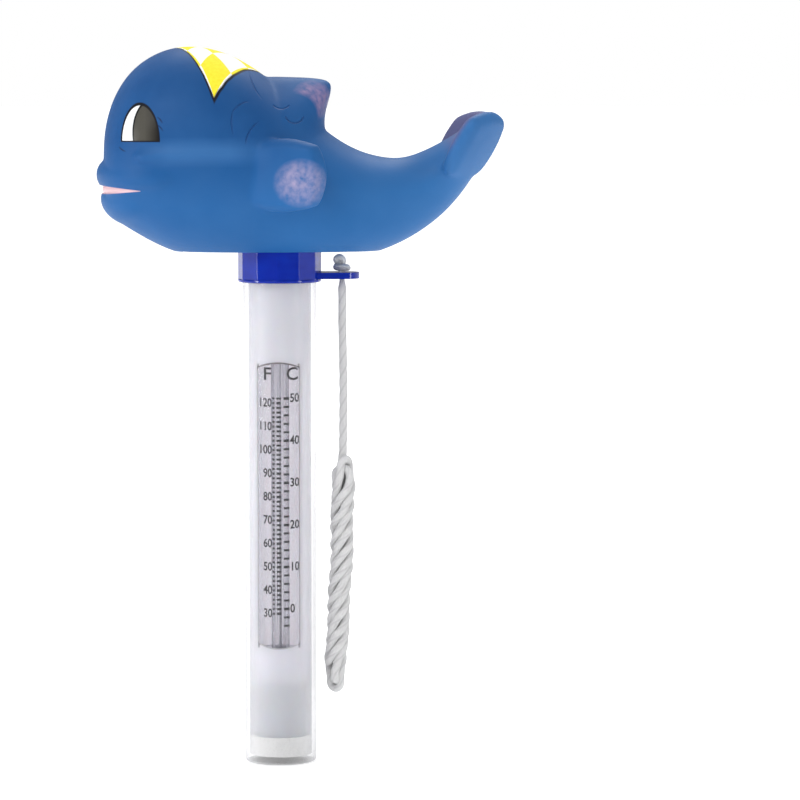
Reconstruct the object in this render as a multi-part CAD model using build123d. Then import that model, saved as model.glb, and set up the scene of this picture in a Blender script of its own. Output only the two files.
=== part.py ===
"""Floating pool thermometer: a hollow whale float on a screw collar, over a clear tube
that holds an enclosed spirit thermometer and a ballast weight, with a tether cord.

The frame is Z up, in millimetres. The origin is on the tube's axis, at the water surface
that the float rides at. The whale looks along -X, its tail and the collar's tab point
along +X, and the scale faces the whale's left side, -Y.
"""

import math
import os

from build123d import *

# --- Driving dimensions ------------------------------------------------------------

# Float: heights are above the belly, which sits this far under the water surface
draught = 19.0
float_wall = 2.2
seat_height = 6.0
seat_margin = 0.7

# Each station across the whale: place along X, height of its centre, lean of its plane
# in degrees, half height and half width
whale_stations = (
    (-60.5, 26.0, 0, 4.5, 8.0),
    (-57.8, 27.2, 0, 13.9, 18.5),
    (-52.5, 31.4, 0, 22.2, 25.5),
    (-44.0, 33.3, 0, 29.5, 30.0),
    (-33.0, 32.9, 0, 34.3, 31.8),
    (-20.0, 31.6, 0, 34.8, 32.0),
    (-6.0, 28.1, 0, 31.7, 31.0),
    (8.0, 21.6, 0, 25.1, 28.0),
    (22.0, 15.3, 0, 17.9, 23.0),
    (36.0, 15.8, 8, 14.8, 17.5),
    (47.5, 20.6, 28, 11.1, 14.0),
    (58.0, 28.6, 46, 8.4, 12.5),
    (64.8, 36.0, 56, 5.6, 10.5),
)
first_hollow_station = 1
last_hollow_station = 10

fluke_centre = (64.8, 13.2, 37.2)
fluke_radii = (3.9, 13.0, 10.8)
fluke_lean = 30.0
fluke_cup = 34.0

flipper_centre = (-0.4, 33.4, 25.6)
flipper_radii = (14.2, 4.4, 11.8)
flipper_flare = 15.0

fin_thickness = 9.0
fin_edge_radius = 3.0
fin_outline = ((-10.0, 56.5), (2.0, 56.8), (14.0, 56.2), (17.2, 53.5), (14.8, 44.0), (17.5, 32.0), (-4.0, 40.0))

# Socket bonded into the belly, and the spigot that pushes into it
spigot_radius = 8.0
spigot_wall = 1.8
spigot_height = 10.0
ring_section_radius = 0.8
ring_groove_depth = 0.85
ring_height = 5.2
ring_clearance = 0.03
ring_side_clearance = 0.08
socket_clearance = 0.06
socket_wall = 1.5
socket_roof_gap = 0.8
socket_flange_width = 2.2
socket_flange_thickness = 1.2
bond_clearance = 0.05

# Collar: its grip flats are turned a little from -Y, and it ends in a plain rim
collar_sides = 12
collar_turn = -4.7
collar_wall = 1.25
collar_land = 0.6
collar_height = 10.3
collar_deck = 2.0
collar_corner_radius = 0.9
rim_height = 1.0
rim_edge_radius = 0.3
tab_thickness = 2.1
tab_lift = 1.0
tab_reach = 7.35
tab_end_radius = 5.8
cord_hole_clearance = 0.7

# Screw thread between collar and tube
thread_pitch = 3.0
thread_depth = 0.55
thread_root_width = 1.2
thread_crest_width = 0.7
thread_root_bite = 0.2
thread_clearance = 0.15
tube_thread_run_out = 2.1
collar_thread_run_out = 2.4
shoulder_gap = 0.2
gasket_thickness = 1.2
gasket_edge_clearance = 0.2

# Tube
tube_body_length = 160.2
tube_bore_radius = 10.4
tube_neck_wall = 1.0
tube_shoulder_step = 0.85
tube_draft = 0.4
tube_foot_length = 20.0
tube_floor = 2.5
tube_edge_radius = 0.9

# Liner with its window, turned from -Y towards the whale's head
liner_clearance = 0.1
liner_wall = 0.7
liner_top_gap = 2.5
window_turn = -6.0
window_width = 13.5
window_bottom = 39.0
window_top_drop = 26.5
window_arch = 1.4

# Stack inside the liner: lengths from the tube's floor up, and drops from its shoulder
floor_pad_thickness = 6.5
ballast_length = 18.0
ballast_bevel = 0.8
ballast_pad_thickness = 2.5
stack_clearance = 0.15
bulb_cup_height = 8.0
bulb_cup_depth = 6.0
jacket_gap = 1.8
jacket_wall = 0.6
jacket_top_drop = 19.2
bush_thickness = 4.5
bush_gap = 0.5

# Glass thermometer
glass_radius = 3.0
glass_clearance = 0.06
glass_top_drop = 10.2
glass_tip = 1.6
bulb_bore_radius = 1.9
bulb_bore_length = 5.0
capillary_radius = 0.4
capillary_top_wall = 3.0
spirit_clearance = 0.05
spirit_level = 89.5
spirit_head_length = 1.0

# Tether cord: the route's points are off the tab's hole and its top face, and the hank's
# stations are a distance off the hole, a height above the belly and a radius in cord radii
cord_radius = 1.4
knot_width_share = 2.7
knot_depth_share = 2.2
knot_seat_width = 0.25
knot_headroom = 0.9
cord_route = ((0.0, 0.0), (0.0, -18.0), (0.5, -34.0))
cord_lead = 13.0
hank_stations = (
    (0.3, -68.3, 2.2),
    (0.3, -71.5, 2.9),
    (0.1, -90.0, 3.0),
    (-0.5, -110.0, 2.85),
    (-1.7, -130.0, 2.65),
    (-2.8, -143.0, 2.35),
    (-3.4, -149.0, 1.5),
)

# --- Sizes that follow from them ---------------------------------------------------

belly = -draught
deck_underside = belly - collar_deck
collar_bottom = belly - collar_height
shoulder = collar_bottom - shoulder_gap
tube_bottom = shoulder - tube_body_length
tube_rim = deck_underside - gasket_thickness

neck_radius = tube_bore_radius + tube_neck_wall
tube_top_radius = neck_radius + tube_shoulder_step
tube_foot_radius = tube_top_radius - tube_draft
tube_crest_radius = neck_radius + thread_depth
collar_bore_radius = tube_crest_radius + thread_clearance
collar_crest_radius = neck_radius + thread_clearance
tab_top = collar_bottom + tab_lift + tab_thickness
tab_hole_radius = cord_radius + cord_hole_clearance

tube_thread_level = shoulder + thread_root_width / 2 + thread_pitch / 3
collar_thread_level = tube_thread_level + thread_pitch / 2
tube_thread_turns = (tube_rim - tube_thread_level - tube_thread_run_out) / thread_pitch
collar_thread_turns = (deck_underside - collar_thread_level - collar_thread_run_out) / thread_pitch

ring_radius = spigot_radius - ring_groove_depth + ring_clearance + ring_section_radius
socket_bore = ring_radius + ring_section_radius + socket_clearance
socket_outer = socket_bore + socket_wall
flange_radius = socket_outer + socket_flange_width
collar_flat_radius = max(collar_bore_radius + collar_wall, flange_radius + collar_land)
collar_corner = collar_flat_radius / math.cos(math.pi / collar_sides)
tab_hole_centre = collar_flat_radius + tab_reach
socket_bore_height = spigot_height + socket_roof_gap
seat_radius = max(collar_corner, flange_radius) + seat_margin

liner_radius = tube_bore_radius - liner_clearance
liner_bore = liner_radius - liner_wall
window_top = tube_body_length - window_top_drop
floor_pad_top = tube_floor + floor_pad_thickness
ballast_top = floor_pad_top + ballast_length
bulb_cup_bottom = ballast_top + ballast_pad_thickness
bulb_cup_top = bulb_cup_bottom + bulb_cup_height
jacket_radius = liner_bore - jacket_gap
jacket_top = tube_body_length - jacket_top_drop
insert_radius = liner_bore - stack_clearance
glass_bottom = bulb_cup_top - bulb_cup_depth + bush_gap
glass_top = tube_body_length - glass_top_drop
bulb_bore_bottom = glass_bottom + glass_tip
bulb_bore_top = bulb_bore_bottom + bulb_bore_length
capillary_top = glass_top - capillary_top_wall


def up_tube(height):
    """The level of a height above the tube's underside."""
    return tube_bottom + height


def disc(radius, low, high):
    """A round bar on the tube's axis between two levels."""
    return Pos(0, 0, (low + high) / 2) * Cylinder(radius, high - low)


def pipe(outer, inner, low, high):
    """A ring on the tube's axis between two levels."""
    return disc(outer, low, high) - disc(inner, low, high)


def write(name, shape):
    """Writes one sub-part, under the name that its node gets."""
    export_step(shape, f"parts/{name}.step")


# --- Float -------------------------------------------------------------------------


def station_face(x, height, lean, half_height, half_width):
    """One elliptical section of the whale, on its own leaning plane."""
    turn = math.radians(lean)
    plane = Plane(
        origin=(x, 0, belly + height),
        x_dir=(0, 1, 0),
        z_dir=(math.cos(turn), 0, math.sin(turn)),
    )
    return plane * Ellipse(half_width, half_height)


def ellipsoid(radii):
    """A ball stretched to three half axes, with its seam towards +Y."""
    return scale(Rot(0, 0, 90) * Sphere(1), by=radii)


def body_skin():
    """The whale's outside, from lips to the root of the flukes."""
    return loft([station_face(*station) for station in whale_stations])


def body_cavity():
    """The air space, one wall inside the skin, closed before the flukes."""
    inner = []
    hollow = whale_stations[first_hollow_station : last_hollow_station + 1]
    for x, height, lean, half_height, half_width in hollow:
        inner.append(station_face(x, height, lean, half_height - float_wall, half_width - float_wall))
    below = Pos(0, 0, belly + float_wall - draught / 2) * Box(300, 200, draught)
    return loft(inner) - below


def flukes():
    """The two lobes of the tail, cupped towards the head."""
    x, y, z = fluke_centre
    lobe = Rot(0, 0, fluke_cup) * Rot(0, fluke_lean, 0) * ellipsoid(fluke_radii)
    right = Pos(x, y, belly + z) * lobe
    return [right, mirror(right, about=Plane.XZ)]


def flippers():
    """The two side paddles, whose back edges stand off the body."""
    x, y, z = flipper_centre
    left = Pos(x, -y, belly + z) * Rot(0, 0, -flipper_flare) * ellipsoid(flipper_radii)
    return [left, mirror(left, about=Plane.XZ)]


def dorsal_fin():
    """The back fin, a thick wedge with rounded sides."""
    outline = Plane.XZ * make_face(Polyline(*fin_outline, close=True))
    fin = extrude(outline, amount=fin_thickness / 2, both=True)
    sides = fin.faces().sort_by(Axis.Y)
    rounding = min(fin_edge_radius, 0.35 * fin_thickness)
    return Pos(0, 0, belly) * fillet(sides[0].edges() + sides[-1].edges(), rounding)


def whale_float():
    """The hollow moulded whale, with a seat for the collar and a hole for the socket."""
    cavity = body_cavity()
    shell = body_skin() - cavity
    shell += disc(seat_radius, belly, belly + seat_height)
    shell -= Pos(0, 0, belly - draught / 2) * Box(300, 200, draught)
    shell -= disc(socket_outer + bond_clearance, belly - 1, belly + socket_bore_height + socket_wall + 1)
    shell -= disc(flange_radius + bond_clearance, belly - 1, belly + socket_flange_thickness + bond_clearance)
    for piece in (*flukes(), *flippers(), dorsal_fin()):
        shell += piece - cavity
    return shell.solids().sort_by(SortBy.VOLUME)[-1]


def float_socket():
    """The cup that seals the whale and takes the collar's spigot."""
    roof = belly + socket_bore_height
    cup = disc(socket_outer, belly, roof + socket_wall)
    cup += disc(flange_radius, belly, belly + socket_flange_thickness)
    return cup - disc(socket_bore, belly - 1, roof)


def spigot_ring():
    """The rubber ring that grips the socket."""
    return Pos(0, 0, belly + ring_height) * Torus(ring_radius, ring_section_radius)


# --- Collar ------------------------------------------------------------------------


def thread_rib(root_radius, crest_radius, level, turns):
    """One helical rib, from a little inside its wall to its crest."""
    path = Pos(0, 0, level) * Helix(thread_pitch, turns * thread_pitch, root_radius)
    start = Plane(origin=path @ 0, x_dir=(1, 0, 0), z_dir=path % 0)
    bite = thread_root_bite if crest_radius < root_radius else -thread_root_bite
    reach = crest_radius - root_radius
    section = start * make_face(
        Polyline(
            (bite, -thread_root_width / 2),
            (reach, -thread_crest_width / 2),
            (reach, thread_crest_width / 2),
            (bite, thread_root_width / 2),
            close=True,
        )
    )
    return sweep(section, path=path, is_frenet=True)


def collar_cap():
    """The twelve-sided screw collar, its spigot and its tether tab."""
    outline = RegularPolygon(collar_flat_radius, collar_sides, major_radius=False, rotation=collar_turn)
    grip = extrude(Pos(0, 0, collar_bottom) * outline, amount=collar_height)
    grip = fillet(grip.edges().filter_by(Axis.Z), collar_corner_radius)
    rim = disc(collar_corner, collar_bottom, collar_bottom + rim_height)
    grip += fillet(rim.edges().filter_by(GeomType.CIRCLE), rim_edge_radius)

    tab_level = tab_top - tab_thickness
    tab = Pos(tab_hole_centre, 0, tab_level) * Circle(tab_end_radius)
    tab += Pos(tab_hole_centre / 2, 0, tab_level) * Rectangle(tab_hole_centre, 2 * tab_end_radius)
    collar = grip + extrude(tab, amount=tab_thickness)
    collar += disc(spigot_radius, deck_underside, belly + spigot_height)

    collar -= disc(spigot_radius - spigot_wall, deck_underside - 1, belly + spigot_height - spigot_wall)
    collar -= disc(collar_bore_radius, collar_bottom - 1, deck_underside)
    collar -= Pos(tab_hole_centre, 0, tab_level) * Cylinder(tab_hole_radius, 3 * tab_thickness)
    groove = ring_section_radius + ring_side_clearance
    centre = belly + ring_height
    collar -= pipe(spigot_radius + 1, spigot_radius - ring_groove_depth, centre - groove, centre + groove)

    collar += thread_rib(collar_bore_radius, collar_crest_radius, collar_thread_level, collar_thread_turns)
    return collar.solids().sort_by(SortBy.VOLUME)[-1]


def cap_gasket():
    """The flat seal between the tube's rim and the collar's deck."""
    edge = min(neck_radius, collar_crest_radius - gasket_edge_clearance)
    return pipe(edge, tube_bore_radius - liner_wall, tube_rim, deck_underside)


# --- Tube and what it holds --------------------------------------------------------


def outer_tube():
    """The clear tube: straight foot, drafted body, shoulder and threaded neck."""
    foot_top = tube_bottom + tube_foot_length
    side = make_face(
        Polyline(
            (0, tube_bottom),
            (tube_foot_radius, tube_bottom),
            (tube_foot_radius, foot_top),
            (tube_top_radius, shoulder),
            (neck_radius, shoulder),
            (neck_radius, tube_rim),
            (0, tube_rim),
            close=True,
        )
    )
    tube = revolve(Plane.XZ * side, axis=Axis.Z)
    tube = fillet(tube.edges().group_by(Axis.Z)[0], tube_edge_radius)
    tube += thread_rib(neck_radius, tube_crest_radius, tube_thread_level, tube_thread_turns)
    return tube - disc(tube_bore_radius, tube_bottom + tube_floor, tube_rim + 1)


def window_liner():
    """The white sleeve inside the tube, with the window that the scale is read through."""
    sleeve = pipe(liner_radius, liner_bore, up_tube(floor_pad_top), tube_rim - liner_top_gap)
    half = window_width / 2
    low, high = window_bottom + window_arch, window_top - window_arch
    outline = Polyline((-half, high), (-half, low))
    outline += ThreePointArc((-half, low), (0, window_bottom), (half, low))
    outline += Polyline((half, low), (half, high))
    outline += ThreePointArc((half, high), (0, window_top), (-half, high))
    opening = extrude(Plane.XZ * make_face(outline), amount=2 * liner_radius)
    return sleeve - Rot(0, 0, window_turn) * Pos(0, 0, tube_bottom) * opening


def scale_jacket():
    """The clear sleeve round the glass that carries the printed scale."""
    return pipe(jacket_radius, jacket_radius - jacket_wall, up_tube(bulb_cup_top), up_tube(jacket_top))


def glass_stem():
    """The thermometer's glass: a rounded foot, the bulb's space and the capillary bore."""
    stem = disc(glass_radius, up_tube(glass_bottom), up_tube(glass_top))
    stem = fillet(stem.edges().filter_by(GeomType.CIRCLE), 0.45 * glass_radius)
    bulb = disc(bulb_bore_radius, up_tube(bulb_bore_bottom), up_tube(bulb_bore_top))
    bore = disc(capillary_radius, up_tube(bulb_bore_bottom), up_tube(capillary_top))
    return stem - (bulb + bore)


def spirit_fill():
    """The spirit in the bulb."""
    radius = bulb_bore_radius - spirit_clearance
    low, high = bulb_bore_bottom + spirit_clearance, bulb_bore_top - spirit_clearance
    return disc(radius, up_tube(low), up_tube(high))


def spirit_column():
    """The thread of spirit in the capillary, up to just under its head."""
    radius = capillary_radius - spirit_clearance
    return disc(radius, up_tube(bulb_bore_top - spirit_clearance), up_tube(spirit_level - spirit_head_length))


def spirit_head():
    """The top of the spirit thread, which shows the reading."""
    radius = capillary_radius - spirit_clearance
    return disc(radius, up_tube(spirit_level - spirit_head_length), up_tube(spirit_level))


def bulb_cup():
    """The soft cup that holds the glass by its foot."""
    cup = disc(insert_radius, up_tube(bulb_cup_bottom), up_tube(bulb_cup_top))
    pocket = glass_radius + glass_clearance
    return cup - disc(pocket, up_tube(bulb_cup_top - bulb_cup_depth), up_tube(bulb_cup_top) + 1)


def stem_bush():
    """The foam ring that centres the glass above the jacket."""
    low = up_tube(jacket_top + bush_gap)
    return pipe(insert_radius, glass_radius + glass_clearance, low, low + bush_thickness)


def ballast_weight():
    """The steel slug that keeps the tube upright in the water."""
    slug = disc(insert_radius, up_tube(floor_pad_top), up_tube(ballast_top))
    return chamfer(slug.edges().filter_by(GeomType.CIRCLE), ballast_bevel)


def ballast_pad():
    """The foam disc between ballast and bulb cup."""
    return disc(insert_radius, up_tube(ballast_top), up_tube(bulb_cup_bottom))


def floor_pad():
    """The foam plug on the tube's floor."""
    return disc(liner_radius, tube_bottom + tube_floor, up_tube(floor_pad_top))


# --- Tether ------------------------------------------------------------------------


def corner_radii(points):
    """The bend radius at each inner point: 0.45 of the shorter run over the half turn's tangent."""
    radii = []
    for before, here, after in zip(points, points[1:], points[2:]):
        come, go = Vector(*here) - Vector(*before), Vector(*after) - Vector(*here)
        half_turn = math.radians(come.get_angle(go)) / 2
        radii.append(0.45 * min(come.length, go.length) / math.tan(half_turn))
    return radii


def tether_cord():
    """The stretch that hangs from the tab's hole to the top of the hank."""
    points = [(tab_hole_centre + aside, 0, tab_top + drop) for aside, drop in cord_route]
    hank_x, hank_level = tab_hole_centre + hank_stations[0][0], belly + hank_stations[0][1]
    points += [(hank_x, 0, hank_level + cord_lead), (hank_x, 0, hank_level)]
    radii = corner_radii(points)
    print("cord bend radii", [round(radius) for radius in radii])
    path = FilletPolyline(*points, radius=radii)
    start = Plane(origin=path @ 0, z_dir=path % 0)
    tube = sweep(start * Circle(cord_radius), path=path)
    print("cord volume", round(tube.volume, 1), "of", round(math.pi * cord_radius**2 * path.length, 1))
    return tube


def cord_knot():
    """The stopper knot that rests on the tab."""
    half_width, half_depth = knot_width_share * cord_radius, knot_depth_share * cord_radius
    foot = math.sqrt(1 - ((tab_hole_radius + knot_seat_width) / half_depth) ** 2)
    half_height = (belly - knot_headroom - tab_top) / (1 + foot)
    centre = tab_top + half_height * foot
    knot = Pos(tab_hole_centre, 0, centre) * ellipsoid((half_width, half_depth, half_height))
    below = Pos(tab_hole_centre, 0, tab_top - half_height) * Box(4 * half_width, 4 * half_depth, 2 * half_height)
    return knot - below


def cord_hank():
    """The outer shape of the folded and twisted hank."""
    sections = []
    for aside, height, share in hank_stations:
        sections.append(Pos(tab_hole_centre + aside, 0, belly + height) * Circle(share * cord_radius))
    return loft(sections)


def main():
    os.makedirs("parts", exist_ok=True)
    for make in (
        whale_float,
        float_socket,
        spigot_ring,
        collar_cap,
        cap_gasket,
        outer_tube,
        window_liner,
        scale_jacket,
        glass_stem,
        spirit_fill,
        spirit_column,
        spirit_head,
        bulb_cup,
        stem_bush,
        ballast_weight,
        ballast_pad,
        floor_pad,
        tether_cord,
        cord_knot,
        cord_hank,
    ):
        write(make.__name__, make())


main()
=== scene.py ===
"""Looks of the floating pool thermometer: the painted whale float, the polished screw collar,
the clear tube with its milky sleeve and printed scale, and the twisted tether cord."""

import math

import bpy
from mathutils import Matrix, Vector


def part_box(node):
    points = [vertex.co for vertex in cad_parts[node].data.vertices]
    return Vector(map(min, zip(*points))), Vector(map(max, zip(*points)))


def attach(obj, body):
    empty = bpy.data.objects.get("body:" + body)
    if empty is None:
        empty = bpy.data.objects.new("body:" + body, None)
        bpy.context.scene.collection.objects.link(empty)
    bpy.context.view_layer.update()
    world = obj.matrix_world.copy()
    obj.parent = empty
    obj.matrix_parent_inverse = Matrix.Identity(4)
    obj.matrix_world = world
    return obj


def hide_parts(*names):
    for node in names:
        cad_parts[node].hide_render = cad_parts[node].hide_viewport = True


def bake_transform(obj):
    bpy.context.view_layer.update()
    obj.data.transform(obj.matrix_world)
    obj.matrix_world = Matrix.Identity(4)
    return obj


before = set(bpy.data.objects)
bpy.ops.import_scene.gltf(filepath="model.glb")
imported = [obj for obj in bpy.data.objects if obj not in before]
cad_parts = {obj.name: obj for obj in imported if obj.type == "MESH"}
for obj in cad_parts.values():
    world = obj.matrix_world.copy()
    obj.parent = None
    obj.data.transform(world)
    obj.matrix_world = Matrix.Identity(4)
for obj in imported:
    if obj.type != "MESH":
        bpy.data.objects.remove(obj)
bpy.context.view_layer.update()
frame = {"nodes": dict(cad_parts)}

MM = 0.001
SOCKET_LOW, SOCKET_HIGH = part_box("float_socket")
JACKET_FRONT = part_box("scale_jacket")[0].y
TUBE_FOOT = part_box("outer_tube")[0].z
BELLY = SOCKET_LOW.z

# --- Camera ------------------------------------------------------------------------

VIEW_AZIMUTH = -4.0
VIEW_ELEVATION = 4.9
VIEW_DISTANCE = 1.22
VIEW_WIDTH = 0.2667
VIEW_TARGET = Vector((0.040, 0.0, BELLY - 50 * MM))


def add_camera():
    """A long lens at the height of the whale, level enough to see the collar edge on."""
    turn, rise = math.radians(VIEW_AZIMUTH), math.radians(VIEW_ELEVATION)
    back = Vector((math.sin(turn) * math.cos(rise), -math.cos(turn) * math.cos(rise), math.sin(rise)))
    lens = bpy.data.cameras.new("camera")
    lens.sensor_width = 36
    lens.lens = lens.sensor_width * VIEW_DISTANCE / VIEW_WIDTH
    lens.clip_start = 0.05
    camera = bpy.data.objects.new("camera", lens)
    camera.location = VIEW_TARGET + back * VIEW_DISTANCE
    camera.rotation_euler = (-back).to_track_quat("-Z", "Y").to_euler()
    bpy.context.collection.objects.link(camera)
    bpy.context.scene.camera = camera
    bpy.context.scene.view_settings.view_transform = "Standard"
    bpy.context.scene.cycles.transparent_max_bounces = 32


# --- Shader maths ------------------------------------------------------------------


class Field:
    """A value that changes over a surface. Arithmetic on it adds Math nodes."""

    def __init__(self, finish, socket):
        self.finish = finish
        self.socket = socket

    def math(self, operation, *values, clamp=False):
        settings = {"operation": operation, "use_clamp": clamp}
        node = self.finish.node("ShaderNodeMath", settings, dict(enumerate(values)))
        return Field(self.finish, node.outputs[0])

    def __add__(self, other):
        return self.math("ADD", self, other)

    def __sub__(self, other):
        return self.math("SUBTRACT", self, other)

    def __rsub__(self, other):
        return self.math("SUBTRACT", other, self)

    def __mul__(self, other):
        return self.math("MULTIPLY", self, other)

    def __truediv__(self, other):
        return self.math("DIVIDE", self, other)

    def __pow__(self, other):
        return self.math("POWER", self, other)

    def __abs__(self):
        return self.math("ABSOLUTE", self)

    __radd__ = __add__
    __rmul__ = __mul__

    def floor(self):
        return self.math("FLOOR", self)

    def fraction(self):
        return self.math("FRACT", self)

    def is_odd(self):
        """1 where a whole number is odd, and 0 where it is even."""
        return self.math("MODULO", self, 2.0)

    def below(self, limit, blur):
        """1 where the field is under limit and 0 where it is over, over a soft edge blur wide."""
        return self.math("MULTIPLY_ADD", limit - self, 1 / blur, 0.5, clamp=True)

    def above(self, limit, blur):
        """1 where the field is over limit and 0 where it is under, over the same soft edge."""
        return self.math("MULTIPLY_ADD", self - limit, 1 / blur, 0.5, clamp=True)


def srgb(red, green, blue):
    """A linear colour from three values as a paint chart gives them, 0 to 255."""
    linear = []
    for value in (red / 255, green / 255, blue / 255):
        linear.append(value / 12.92 if value <= 0.04045 else ((value + 0.055) / 1.055) ** 2.4)
    return (*linear, 1.0)


class Finish:
    """A material on one Principled shader, with the fields that it is painted from."""

    def __init__(self, name, **constants):
        self.material = bpy.data.materials.new(name)
        self.material.use_nodes = True
        self.tree = self.material.node_tree
        self.tree.nodes.clear()
        self.output = self.node("ShaderNodeOutputMaterial")
        self.shader = self.node("ShaderNodeBsdfPrincipled", {}, constants)
        self.link(self.shader.outputs[0], self.output.inputs[0])
        self.object_point = self.node("ShaderNodeTexCoord").outputs["Object"]
        split = self.node("ShaderNodeSeparateXYZ", {}, {0: self.object_point})
        self.x, self.y, self.z = (Field(self, split.outputs[i]) / MM for i in range(3))

    def link(self, source, target):
        self.tree.links.new(source, target)

    def node(self, kind, settings=None, inputs=None):
        node = self.tree.nodes.new(kind)
        for name, value in (settings or {}).items():
            setattr(node, name, value)
        for name, value in (inputs or {}).items():
            name = name.replace("_", " ") if isinstance(name, str) else name
            if isinstance(value, Field):
                value = value.socket
            if isinstance(value, bpy.types.NodeSocket):
                self.link(value, node.inputs[name])
            else:
                node.inputs[name].default_value = value
        return node

    def noise(self, size, detail=2.0, stretch=(1, 1, 1)):
        """Noise from 0 to 1 whose lumps are about size millimetres across."""
        scale = tuple(1 / (size * MM * s) for s in stretch)
        mapping = self.node("ShaderNodeMapping", {}, {"Vector": self.object_point, "Scale": scale})
        inputs = {"Vector": mapping.outputs[0], "Scale": 1.0, "Detail": detail}
        noise = self.node("ShaderNodeTexNoise", {}, inputs)
        return Field(self, noise.outputs[0])

    def mix(self, under, over, amount):
        """The colour under, with the colour over laid on it where amount is 1."""
        settings = {"data_type": "RGBA", "clamp_factor": True}
        return self.node("ShaderNodeMix", settings, {0: amount, 6: under, 7: over}).outputs[2]

    def feed(self, **inputs):
        """Links varying fields to the shader."""
        for name, value in inputs.items():
            socket = value.socket if isinstance(value, Field) else value
            self.link(socket, self.shader.inputs[name.replace("_", " ")])

    def relief(self, height, depth):
        """Raises the surface by depth millimetres where the field height is 1."""
        settings = {"Height": height, "Distance": depth * MM, "Strength": 1.0}
        self.feed(Normal=self.node("ShaderNodeBump", {}, settings).outputs[0])

    def on(self, *pieces):
        """Gives the pieces this finish alone."""
        for piece in pieces:
            piece.data.materials.clear()
            piece.data.materials.append(self.material)
        return self


# --- Modelling ---------------------------------------------------------------------


def above_belly(place):
    """A place given in millimetres, with its height above the belly, in metres."""
    return Vector((place[0] * MM, place[1] * MM, place[2] * MM + BELLY))


def only(piece):
    """Selects one piece, alone, in object mode."""
    if bpy.context.object and bpy.context.object.mode != "OBJECT":
        bpy.ops.object.mode_set(mode="OBJECT")
    bpy.ops.object.select_all(action="DESELECT")
    if piece:
        piece.select_set(True)
        bpy.context.view_layer.objects.active = piece


def begin(name, add, **settings):
    """Adds a primitive with nothing else selected, and names it."""
    only(None)
    add(**settings)
    piece = bpy.context.object
    piece.name = piece.data.name = name
    return piece


def settle(piece):
    """Moves a piece's place, turn and size into its mesh."""
    only(piece)
    bpy.ops.object.transform_apply(location=True, rotation=True, scale=True)
    return piece


def modify(piece, kind, **settings):
    """Adds one modifier and applies it."""
    only(piece)
    modifier = piece.modifiers.new(kind.title(), kind)
    for name, value in settings.items():
        setattr(modifier, name, value)
    bpy.ops.object.modifier_apply(modifier=modifier.name)
    return piece


def join(name, pieces):
    """Joins pieces into the first one."""
    only(pieces[0])
    for piece in pieces:
        piece.select_set(True)
    bpy.ops.object.join()
    piece = bpy.context.object
    piece.name = piece.data.name = name
    return piece


def loft(name, rings, sides, upright):
    """Extrudes a circle from ring to ring. A ring is its centre, its size along each axis and its
    lean in degrees, all in millimetres above the belly. Upright rings are stacked along Z."""
    turn = (0, 0, 0) if upright else (0, math.pi / 2, 0)
    settings = {"vertices": sides, "radius": MM, "rotation": turn}
    piece = settle(begin(name, bpy.ops.mesh.primitive_circle_add, **settings))
    bpy.ops.object.mode_set(mode="EDIT")
    bpy.ops.mesh.select_all(action="SELECT")
    place, size, lean = Vector((0, 0, 0)), Vector((1, 1, 1)), 0.0
    for index, (centre, new_size, new_lean) in enumerate(rings):
        target = above_belly(centre)
        step = target - place
        if index:
            bpy.ops.mesh.extrude_edges_move(TRANSFORM_OT_translate={"value": step})
        else:
            bpy.ops.transform.translate(value=step)
        ratio = [new / old for new, old in zip(new_size, size)]
        tilt = {"orient_axis": "Y", "center_override": target}
        bpy.ops.transform.rotate(value=-math.radians(lean), **tilt)
        bpy.ops.transform.resize(value=ratio, center_override=target)
        bpy.ops.transform.rotate(value=math.radians(new_lean), **tilt)
        place, size, lean = target, Vector(new_size), new_lean
        if index == 0:
            bpy.ops.mesh.edge_face_add()
    bpy.ops.mesh.edge_face_add()
    bpy.ops.mesh.select_all(action="SELECT")
    bpy.ops.mesh.normals_make_consistent(inside=False)
    bpy.ops.object.mode_set(mode="OBJECT")
    return piece


BALL = {"segments": 48, "ring_count": 24, "radius": MM}


def lump(name, centre, radii, turn=(0, 0, 0)):
    """A ball stretched to three half axes, in millimetres above the belly."""
    place = above_belly(centre)
    turn = [math.radians(angle) for angle in turn]
    settings = {"location": place, "rotation": turn, "scale": radii, **BALL}
    return settle(begin(name, bpy.ops.mesh.primitive_uv_sphere_add, **settings))


def both_sides(make, name, centre, radii, turn):
    """One lump on the left and its mirror image on the right."""
    right = make(name + "_right", centre, radii, turn)
    flipped = (centre[0], -centre[1], centre[2])
    left = make(name + "_left", flipped, radii, (-turn[0], turn[1], -turn[2]))
    return [right, left]


# --- Whale -------------------------------------------------------------------------

# Rings from face to tail: place along X, height of the centre, lean, half height, half width
BODY_RINGS = (
    (-58.0, 27.0, 0, 7.0, 8.0),
    (-57.3, 27.4, 0, 14.6, 14.5),
    (-54.6, 30.6, 0, 20.2, 21.5),
    (-49.5, 33.1, 0, 26.0, 27.2),
    (-42.0, 33.7, 0, 31.2, 30.6),
    (-33.0, 33.3, 0, 34.7, 32.2),
    (-22.0, 31.9, 0, 35.5, 32.4),
    (-10.0, 29.0, 0, 33.3, 31.6),
    (2.0, 24.3, 0, 28.2, 29.6),
    (13.0, 18.9, 0, 22.3, 26.4),
    (24.0, 15.4, 0, 18.2, 22.4),
    (35.0, 15.6, 6, 15.4, 18.6),
    (45.5, 19.2, 24, 12.2, 15.0),
    (53.0, 24.6, 38, 10.0, 14.6),
    (59.0, 30.3, 48, 7.8, 16.2),
    (63.5, 35.6, 54, 5.6, 17.0),
    (66.5, 40.0, 56, 3.6, 13.5),
)
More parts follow.
